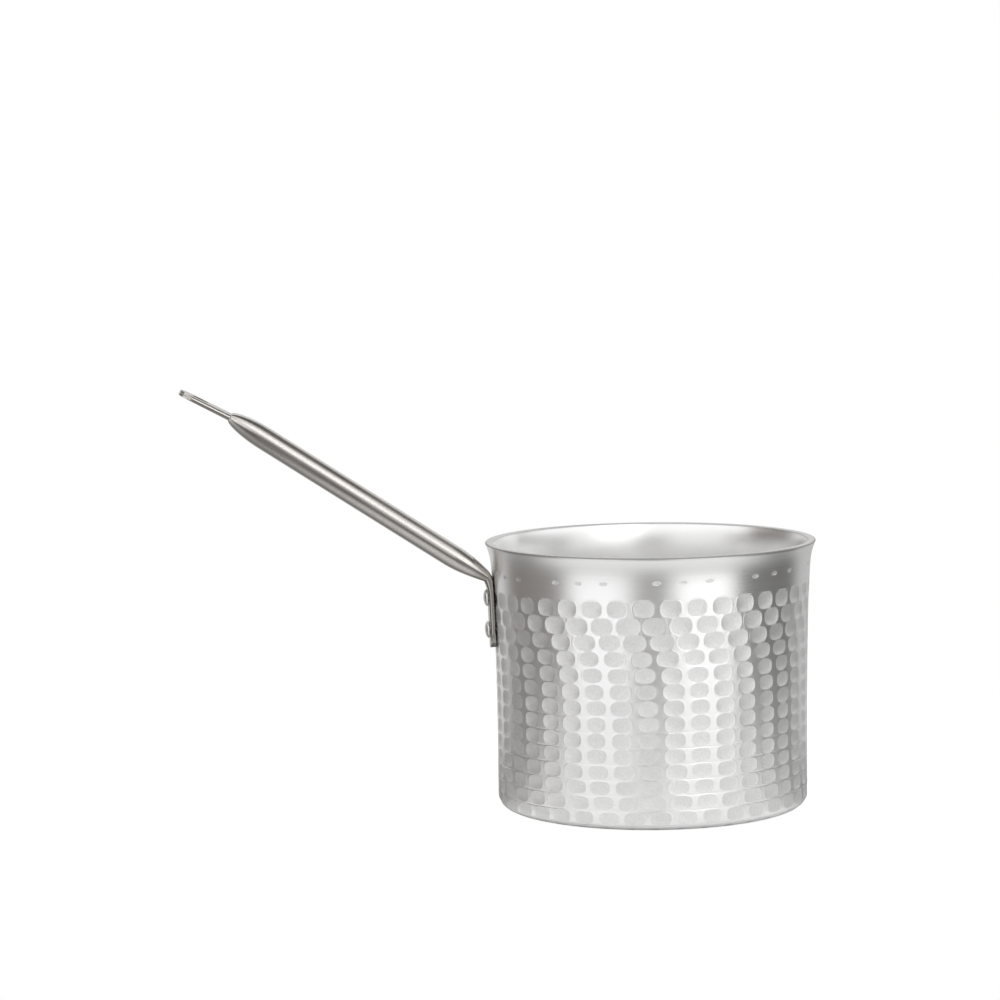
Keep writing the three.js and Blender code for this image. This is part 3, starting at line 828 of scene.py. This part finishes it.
# %% [markdown]
# ## Turning lines
#
# A spinning lathe leaves fine rings in the metal, on the wall, inside and under the base. Noise that
# only sees the distance from the axis and the height gives such rings. A second, slower noise breaks
# them up, so that no ring runs evenly all the way round.

# %% Turning lines group
PATCHES_PER_METRE = 55.0
PATCH_STEP = (0.3, 0.7)

turning_lines, lines_in, lines_out = new_group(
    "turning_lines",
    {"Lines per metre": 900.0, "Break up": 0.35},
    ("Height", "Shade", "Patches"),
)
lines_place, from_axis, above_base = around_axis(turning_lines)
rings_at = add_node(turning_lines, "ShaderNodeCombineXYZ", {0: from_axis, 2: above_base}).outputs[0]
lines_scale = lines_in.outputs["Lines per metre"]
fine_rings = noise(turning_lines, rings_at, lines_scale, detail=4.0, roughness=0.7)
slow_noise = noise(turning_lines, lines_place, PATCHES_PER_METRE, detail=3.0)
patches = smooth_step(turning_lines, slow_noise, *PATCH_STEP)
calm = product(turning_lines, patches, lines_in.outputs["Break up"])
strength = math_node(turning_lines, "SUBTRACT", 1.0, calm)
centred = math_node(turning_lines, "SUBTRACT", fine_rings, 0.5)
line_height = product(turning_lines, centred, strength)
line_shade = math_node(turning_lines, "ADD", line_height, 0.5)
for label, value in (("Height", line_height), ("Shade", line_shade), ("Patches", patches)):
    turning_lines.links.new(value, lines_out.inputs[label])
print("turning lines:", len(turning_lines.nodes), "nodes")

# %% [markdown]
# ## Handling
#
# Metal that is picked up and wiped has soft dull patches, slightly rougher than the rest, and fine
# specks. Two noises, one wide and one fine, give masks for them, which every metal here uses in its
# own measure.

# %% Handling group
DULL_STEP = (0.35, 0.7)
SPECK_STEP = (0.3, 0.75)

handling, handling_in, handling_out = new_group(
    "handling",
    {"Patches per metre": 14.0, "Specks per metre": 900.0},
    ("Dull", "Speck"),
)
handled_place = add_node(handling, "ShaderNodeTexCoord").outputs["Object"]
cloud_scale = handling_in.outputs["Patches per metre"]
speck_scale = handling_in.outputs["Specks per metre"]
clouds = noise(handling, handled_place, cloud_scale, detail=5.0, roughness=0.6)
specks = noise(handling, handled_place, speck_scale, detail=2.0)
handling.links.new(smooth_step(handling, clouds, *DULL_STEP), handling_out.inputs["Dull"])
handling.links.new(smooth_step(handling, specks, *SPECK_STEP), handling_out.inputs["Speck"])
print("handling:", len(handling.nodes), "nodes")

# %% [markdown]
# ## Aluminium
#
# Spun aluminium shines along one direction: its turning lines smear a reflection up and down the
# wall, while it stays fairly sharp from side to side. The anisotropy of the metal shader does this,
# turned by a quarter so that the smear runs upright.

# %% Aluminium
QUARTER_TURN = 0.25


def turned_metal(name, anisotropy):
    """A metal whose shine is smeared across the turning lines."""
    material, tree, metal = new_material(name)
    round_the_axis = add_node(tree, "ShaderNodeTangent", direction_type="RADIAL", axis="Z").outputs[0]
    tree.links.new(round_the_axis, metal.inputs["Tangent"])
    metal.inputs["Metallic"].default_value = 1.0
    metal.inputs["Anisotropic"].default_value = anisotropy
    metal.inputs["Anisotropic Rotation"].default_value = QUARTER_TURN
    return material, tree, metal


def finish(tree, metal, colour, roughness, height):
    """Links a metal's colour, roughness and relief, with the height in metres."""
    bump = {"Strength": 1.0, "Distance": 1.0, "Height": height}
    relief = add_node(tree, "ShaderNodeBump", bump).outputs[0]
    tree.links.new(colour, metal.inputs["Base Color"])
    tree.links.new(roughness, metal.inputs["Roughness"])
    tree.links.new(relief, metal.inputs["Normal"])


print("the shine is turned by", 360 * QUARTER_TURN, "degrees")

# %% [markdown]
# ## The groove along the spiral
#
# A fine groove runs along the spiral between its turns, clearer towards the base. Its sides are
# narrower than the rows of the mesh, so it is relief. Values kept on the mesh would blur it, so it is
# worked out in nodes from the spiral's own formula, which keeps it sharp everywhere.

# %% Spiral groove
GROOVE_DEPTH = 8e-5
GROOVE_WIDTH = 1.4  # in millimetres
GROOVE_FLOOR = 0.2  # the share of the width that has the full depth
GROOVE_FADE = (0.075, 0.035)  # heights in metres between which it grows to its full depth
GROOVE_GAPS = (0.9, 0.2)  # it fades out in the patches where the turning lines are calm


def spiral_row(tree, place):
    """How far down its row a place lies, from 0 at the upper edge to 1 at the lower, and its height."""
    x, y, z = add_node(tree, "ShaderNodeSeparateXYZ", {0: place}).outputs
    drop = math_node(tree, "MULTIPLY_ADD", z, -1 / MM, SPIRAL_TOP)
    square = math_node(tree, "MULTIPLY_ADD", drop, -4 * ROW_TIGHTENING, ROW_PITCH**2)
    root = math_node(tree, "SQRT", square)
    tightening = 2 * ROW_TIGHTENING
    turns = math_node(tree, "MULTIPLY_ADD", root, -1 / tightening, ROW_PITCH / tightening)
    angle = math_node(tree, "ARCTAN2", y, x)
    behind = math_node(tree, "MULTIPLY_ADD", angle, 1 / TURN, -SPIRAL_START / TURN)
    return math_node(tree, "FRACT", math_node(tree, "ADD", turns, behind)), z


def spiral_groove(tree, patches):
    """A mask that is 1 in the groove."""
    row, up = spiral_row(tree, add_node(tree, "ShaderNodeTexCoord").outputs["Object"])
    from_edge = math_node(tree, "MINIMUM", row, math_node(tree, "SUBTRACT", 1.0, row))
    half = GROOVE_WIDTH / 2 / ROW_PITCH
    line = smooth_step(tree, from_edge, half, GROOVE_FLOOR * half)
    low_down = smooth_step(tree, up, *GROOVE_FADE)
    return product(tree, line, low_down, smooth_step(tree, patches, *GROOVE_GAPS))


print("groove:", GROOVE_WIDTH, "mm wide")

# %% [markdown]
# ## The hammered wall
#
# A hammer's face leaves a matt, slightly mottled skin inside each mark, while the lands between keep
# the bright turned skin. Two materials would need faces that end at each mark. The reach that every
# point kept tells the two skins apart in one material, with a clean edge. Around the edge the
# metal is pushed up into a thin ridge.

# %% Hammered wall
LAND_COLOURS = ((0.82, 0.82, 0.815), (0.94, 0.94, 0.935))  # along the turning lines
MARK_COLOURS = ((0.76, 0.76, 0.755), (0.90, 0.90, 0.895))  # from blow to blow, and mottled
MARK_SHADE = 0.3  # where a plain mark stands between its two colours
LUCK_SHADE = 0.25
SPECK_SHADE = 0.4
LAND_ROUGHNESS = 0.28
MARK_ROUGHNESS = 0.54
LUCK_ROUGHNESS = 0.03
LINE_ROUGHNESS = 0.10
DULL_ROUGHNESS = 0.04
MARK_EDGE = (1.02, 0.93)  # reaches between which the land turns into the mark
RIDGE_INSIDE = (0.84, 1.0)  # reaches between which the ridge rises
RIDGE_OUTSIDE = (1.18, 1.02)  # and falls again
RIDGE_HEIGHT = 7e-5
MOTTLE_HEIGHT = 3e-5
LINE_HEIGHT = 1e-5

hammered, tree, metal = turned_metal("hammered_wall", anisotropy=0.55)
reach = add_node(tree, "ShaderNodeAttribute", attribute_name="mark_reach").outputs["Fac"]
luck = add_node(tree, "ShaderNodeAttribute", attribute_name="mark_luck").outputs["Fac"]
lines = place_group(tree, turning_lines, Lines_per_metre=700.0).outputs
wear = place_group(tree, handling, Specks_per_metre=900.0).outputs
in_mark = smooth_step(tree, reach, *MARK_EDGE)
on_land = math_node(tree, "SUBTRACT", 1.0, in_mark)
ridge = product(tree, smooth_step(tree, reach, *RIDGE_INSIDE), smooth_step(tree, reach, *RIDGE_OUTSIDE))
groove = product(tree, spiral_groove(tree, lines["Patches"]), on_land)
mottle = product(tree, wear["Speck"], in_mark)
land_lines = product(tree, lines["Height"], on_land)

mark_rough = layered(tree, MARK_ROUGHNESS - LAND_ROUGHNESS, (luck, LUCK_ROUGHNESS))
roughness = layered(
    tree, LAND_ROUGHNESS,
    (in_mark, mark_rough), (lines["Height"], LINE_ROUGHNESS), (wear["Dull"], DULL_ROUGHNESS),
)
relief = layered(
    tree, 0.0,
    (ridge, RIDGE_HEIGHT), (groove, -GROOVE_DEPTH), (mottle, MOTTLE_HEIGHT), (land_lines, LINE_HEIGHT),
)
land_colour = colour_mix(tree, lines["Shade"], *LAND_COLOURS)
mark_shade = layered(tree, MARK_SHADE, (luck, LUCK_SHADE), (wear["Speck"], SPECK_SHADE))
mark_colour = colour_mix(tree, mark_shade, *MARK_COLOURS)
finish(tree, metal, colour_mix(tree, in_mark, land_colour, mark_colour), roughness, relief)
print("hammered wall:", len(tree.nodes), "nodes")

# %% [markdown]
# ## The turned inside
#
# Inside and under the base the metal shows only its turning lines, and smears its shine less than the
# wall. The lip is the cut edge of the sheet, trimmed level, so it is greyer. Its outer edge is painted
# dark, as painted shade for the shadow line under the lip, which draws a thin line round the mouth.
# All three are the same finish with other values, so one function makes them.

# %% Turned inside
TURNED_LINE_ROUGHNESS = 0.12
TURNED_DULL_ROUGHNESS = 0.05
TURNED_LINE_HEIGHT = 4e-6


def plain_turned(name, colours, rough, anisotropy):
    """A turned metal without hammer marks, between two colours."""
    material, tree, metal = turned_metal(name, anisotropy)
    lines = place_group(tree, turning_lines, Lines_per_metre=900.0).outputs
    wear = place_group(tree, handling).outputs
    layers = (lines["Height"], TURNED_LINE_ROUGHNESS), (wear["Dull"], TURNED_DULL_ROUGHNESS)
    roughness = layered(tree, rough, *layers)
    relief = product(tree, lines["Height"], TURNED_LINE_HEIGHT)
    finish(tree, metal, colour_mix(tree, lines["Shade"], *colours), roughness, relief)
    return material


turned_inside = plain_turned(
    "turned_inside", ((0.90, 0.90, 0.895), (0.98, 0.98, 0.975)), rough=0.28, anisotropy=0.4,
)
trimmed_lip = plain_turned(
    "trimmed_lip", ((0.60, 0.60, 0.595), (0.68, 0.68, 0.675)), rough=0.40, anisotropy=0.3,
)
# painted shade: the lip's outer edge is made dark to stand in for the shadow line under the lip
painted_shade_edge = plain_turned(
    "painted_shade_edge", ((0.36, 0.355, 0.345), (0.44, 0.435, 0.425)), rough=0.45, anisotropy=0.3,
)
print("plain finishes:", turned_inside.name, trimmed_lip.name, painted_shade_edge.name)

# %% [markdown]
# ## Sharing out the pot's faces
#
# The pot is one piece of metal, so its finishes are slots of one mesh. The faces lie in the order of
# the rings, which tells where each finish starts: the underside, the hammered outside, the outer edge
# of the lip, the rest of the lip, and the inside.

# %% Pot finishes
finish_faces = (
    (turned_inside, underside_rings * PLAIN_COLUMNS),
    (hammered, (len(outside) - 1) * WALL_COLUMNS),
    # the painted shade of the lip's outer edge
    (painted_shade_edge, LIP_STEPS * WALL_COLUMNS),
    (trimmed_lip, (len(lip) - LIP_STEPS) * WALL_COLUMNS),
)
finishes = (hammered, turned_inside, trimmed_lip, painted_shade_edge)
for material in finishes:
    pot.data.materials.append(material)
slots = np.full(len(pot.data.polygons), finishes.index(turned_inside), dtype=np.int32)
face = 0
for material, count in finish_faces:
    slots[face:face + count] = finishes.index(material)
    face += count
pot.data.polygons.foreach_set("material_index", slots)
print("hammered finish on", int((slots == finishes.index(hammered)).sum()), "faces")

# %% [markdown]
# ## Steel
#
# The tube was drawn and polished along its length, so its reflections are sharp bands that run with
# the handle. Fine specks of wear break the bands a little. Near the wall the flange is painted darker,
# as painted shade for the dark reflections it shows there, and a mask by the distance from the pot's
# axis keeps this painted shade there. The rivets are soft aluminium, set with a hammer, and a touch
# rougher.

# %% Steel and rivets
# painted shade: near the wall the flange's steel turns to this dark colour, for its dark reflections
PAINTED_SHADE_COLOUR = (0.33, 0.31, 0.285)
PAINTED_SHADE_FADE = (0.098, 0.089)  # distances from the axis, in metres, between which the painted shade sets in
POLISHED_DULL_ROUGHNESS = 0.05


def polished(name, colours, rough, speck_rough, speck_height, painted_shade_near_wall=False):
    """A polished metal with fine specks of wear, between two colours."""
    material, tree, metal = new_material(name)
    wear = place_group(tree, handling, Patches_per_metre=30.0, Specks_per_metre=1400.0).outputs
    layers = (wear["Speck"], speck_rough), (wear["Dull"], POLISHED_DULL_ROUGHNESS)
    roughness = layered(tree, rough, *layers)
    relief = product(tree, wear["Speck"], speck_height)
    colour = colour_mix(tree, wear["Speck"], *colours)
    # painted shade near the wall, standing in for the flange's dark reflections
    if painted_shade_near_wall:
        near_wall = smooth_step(tree, around_axis(tree)[1], *PAINTED_SHADE_FADE)
        colour = colour_mix(tree, near_wall, colour, PAINTED_SHADE_COLOUR)
    finish(tree, metal, colour, roughness, relief)
    metal.inputs["Metallic"].default_value = 1.0
    return material


# the handle's steel carries the painted shade on its flange
handle_steel = polished(
    "polished_steel", ((0.60, 0.575, 0.55), (0.50, 0.475, 0.45)),
    rough=0.13, speck_rough=0.08, speck_height=2e-6, painted_shade_near_wall=True,
)
rivet_metal = polished(
    "rivet_aluminium", ((0.80, 0.80, 0.79), (0.74, 0.74, 0.73)),
    rough=0.26, speck_rough=0.06, speck_height=3e-6,
)
handle.data.materials.clear()
handle.data.materials.append(handle_steel)
for rivet in rivets:
    rivet.data.materials.append(rivet_metal)
print("steel:", handle_steel.name, "rivets:", rivet_metal.name)

# %% [markdown]
# ## Studio cards
#
# Metal only shows what stands around it, so a studio puts white cards and soft lights there. Lamps
# could stand for them, but small lamps make noise in rough metal, so all of it is painted on the
# world by direction. One card is a patch with soft edges, between two azimuths and two elevations.

# %% Studio cards
card, card_in, card_out = new_group(
    "studio_card",
    dict.fromkeys(("Azimuth", "Elevation", "Left", "Right", "Bottom", "Top"), 0.0) | {"Soft": 0.1},
    ("Mask",),
)


def card_side(position, start, stop):
    """A soft box along one direction, between two edges of the card."""
    soft = card_in.outputs["Soft"]
    rise = math_node(card, "DIVIDE", math_node(card, "SUBTRACT", position, start), soft)
    fall = math_node(card, "DIVIDE", math_node(card, "SUBTRACT", stop, position), soft)
    return smooth_step(card, math_node(card, "MINIMUM", rise, fall), -0.5, 0.5)


sides = card_side(card_in.outputs["Azimuth"], card_in.outputs["Left"], card_in.outputs["Right"])
ends = card_side(card_in.outputs["Elevation"], card_in.outputs["Bottom"], card_in.outputs["Top"])
card.links.new(product(card, sides, ends), card_out.inputs["Mask"])
print("studio card:", len(card.nodes), "nodes")

# %% [markdown]
# ## World
#
# The studio has a white backdrop behind the pot, a soft card to the front left and another to the
# front right, a broad light over them with a brighter key in it, smaller lights at the sides, a light
# overhead, and darker room between. Where two cards meet, the brighter one counts. The camera sees
# plain white.

# %% World
ROOM_LEFT = (0.215, 0.195, 0.185)
ROOM_RIGHT = (0.132, 0.130, 0.127)
ROOM_CHANGE = 0.5  # the room changes within this azimuth, in radians, to both sides of the front
WHITE = (1, 1, 1)
CARDS = {
    # left, right, bottom, top and softness in degrees, and how bright
    "front_left": (-62, -13, -24, 12, 22, 1.40),
    "front_right": (15, 64, -24, 12, 22, 1.52),
    "key": (6, 44, 12, 44, 8, 1.95),
    "front_top": (-84, 116, 16, 47, 10, 1.25),
    "side_left": (-116, -78, 27, 54, 10, 1.1),
    "side_right": (72, 124, 6, 24, 10, 0.38),
    "front": (-30, 35, -14, 25, 12, 0.14),
    "back_left": (-230, -135, 4, 60, 14, 0.85),
    "back_right": (118, 230, 4, 46, 14, 1.0),
    "low_left": (-230, -128, -50, 12, 24, 0.60),
    "low_right": (128, 230, -50, 12, 24, 0.46),
    "above": (-230, 230, 64, 95, 12, 1.05),
}

world = bpy.data.worlds.new("studio")
bpy.context.scene.world = world
world.use_nodes = True
sky = world.node_tree
sky.nodes.clear()
ray = add_node(sky, "ShaderNodeTexCoord").outputs["Generated"]
from_front = add_node(
    sky, "ShaderNodeVectorRotate", {"Vector": ray, "Angle": CAMERA_SIDE}, rotation_type="Z_AXIS",
).outputs[0]
to_side, to_back, to_top = add_node(sky, "ShaderNodeSeparateXYZ", {0: from_front}).outputs
azimuth = math_node(sky, "ARCTAN2", to_side, product(sky, to_back, -1.0))
elevation = math_node(sky, "ARCSINE", to_top)
glow = 0.0
for *edges, bright in CARDS.values():
    left, right, bottom, top, soft = (math.radians(edge) for edge in edges)
    patch = place_group(sky, card, Left=left, Right=right, Bottom=bottom, Top=top, Soft=soft)
    sky.links.new(azimuth, patch.inputs["Azimuth"])
    sky.links.new(elevation, patch.inputs["Elevation"])
    glow = math_node(sky, "MAXIMUM", glow, product(sky, patch.outputs["Mask"], bright))
room = colour_mix(sky, smooth_step(sky, azimuth, -ROOM_CHANGE, ROOM_CHANGE), ROOM_LEFT, ROOM_RIGHT)
lit_room = colour_mix(sky, glow, room, WHITE, clamp_factor=False)
studio = add_node(sky, "ShaderNodeBackground", {"Color": lit_room, "Strength": 1.0}).outputs[0]
plain = add_node(sky, "ShaderNodeBackground", {"Color": (*WHITE, 1), "Strength": 1.0}).outputs[0]
seen = add_node(sky, "ShaderNodeLightPath").outputs["Is Camera Ray"]
shown = add_node(sky, "ShaderNodeMixShader", {0: seen, 1: studio, 2: plain}).outputs[0]
add_node(sky, "ShaderNodeOutputWorld", {"Surface": shown})
print("studio cards:", list(CARDS))

# %% [markdown]
# ## Table
#
# The pot stands on a pale round table top. A large plane would do, but its far edge would show in
# the metal, so the table is a disc that fades out before it ends.

# %% Table
TABLE_RADIUS = 0.44
TABLE_RINGS = (10, 150, 300, TABLE_RADIUS / MM)
TABLE_COLUMNS = 96
TABLE_DROP = 0.0002  # below the pot's base, so that the two faces don't fight

table = skin("table", [ring(r, 0, TABLE_COLUMNS) for r in TABLE_RINGS], capped=False)
table.location.z = -TABLE_DROP
print("table", 2 * TABLE_RADIUS, "m across")

# %% [markdown]
# ## The table's light
#
# To the camera the table is white, as bright as the backdrop, with the pot's own soft shadow on it.
# The metal sees it as it is lit: by the front lights near the pot, by the backdrop behind it, and
# hardly at the sides. Lamps would light it so by themselves, but the studio is painted, so the glow
# is painted too, by distance and by side.

# %% Table light
RIM_FADE = (0.36, 0.435)  # the table fades out between these distances from the axis
SHADOW_CHALK = 0.2  # what takes the shadow, to the camera
SHADOW_WHITE = 0.92  # and what makes it white
LIT_CHALK = 0.36  # what lights the pot from below
POOL_GLOW = 0.60  # the front lights make a pool on the table
POOL_REACH = (0.40, 0.24)  # it fades in between these distances from the axis
POOL_SIDE = (-0.2, 0.65)  # and between these cosines, from the sides to the front
BACK_GLOW = 0.35  # and the backdrop lights the far side
BACK_REACH = (0.12, 0.25)
BACK_SIDE = (-0.2, -0.8)
POT_SHADE = (0.0765, 0.085)  # the glow fades between these distances from the axis, towards the pot


def glowing_chalk(tree, chalk, strength):
    """A matt grey that also glows white."""
    matt = add_node(tree, "ShaderNodeBsdfDiffuse", {"Color": (chalk, chalk, chalk, 1)}).outputs[0]
    glow = add_node(tree, "ShaderNodeEmission", {"Color": (*WHITE, 1), "Strength": strength}).outputs[0]
    return add_node(tree, "ShaderNodeAddShader", {0: matt, 1: glow}).outputs[0]


table_top, tree, plain_shader = new_material("pale_table")
tree.nodes.remove(plain_shader)
rays = add_node(tree, "ShaderNodeLightPath").outputs
spot = add_node(tree, "ShaderNodeTexCoord").outputs["Object"]
distance = vector_value(tree, "LENGTH", spot)
ahead = vector_value(tree, "DOT_PRODUCT", spot, towards_camera)
facing = math_node(tree, "DIVIDE", ahead, distance)
on_far_side = smooth_step(tree, facing, *BACK_SIDE)
far_glow = product(tree, on_far_side, BACK_GLOW, smooth_step(tree, distance, *BACK_REACH))
near_glow = product(tree, smooth_step(tree, distance, *POOL_REACH), POOL_GLOW)
pool = layered(tree, far_glow, (smooth_step(tree, facing, *POOL_SIDE), near_glow))
reflected = math_node(tree, "MAXIMUM", rays["Is Glossy Ray"], rays["Is Transmission Ray"])
pool = product(tree, pool, smooth_step(tree, distance, *POT_SHADE), reflected)
pale = glowing_chalk(tree, LIT_CHALK, pool)
white = glowing_chalk(tree, SHADOW_CHALK, SHADOW_WHITE)
seen = rays["Is Camera Ray"]
whole = add_node(tree, "ShaderNodeMixShader", {0: seen, 1: pale, 2: white}).outputs[0]
clear = add_node(tree, "ShaderNodeBsdfTransparent").outputs[0]
rim = smooth_step(tree, distance, *RIM_FADE)
faded = add_node(tree, "ShaderNodeMixShader", {0: rim, 1: whole, 2: clear}).outputs[0]
tree.links.new(faded, tree.nodes["Material Output"].inputs["Surface"])
table.data.materials.append(table_top)
print("table finish:", len(tree.nodes), "nodes")

# %% [markdown]
# ## Finish
#
# Colours are shown as written.

# %% Finish
bpy.context.scene.view_settings.view_transform = "Standard"
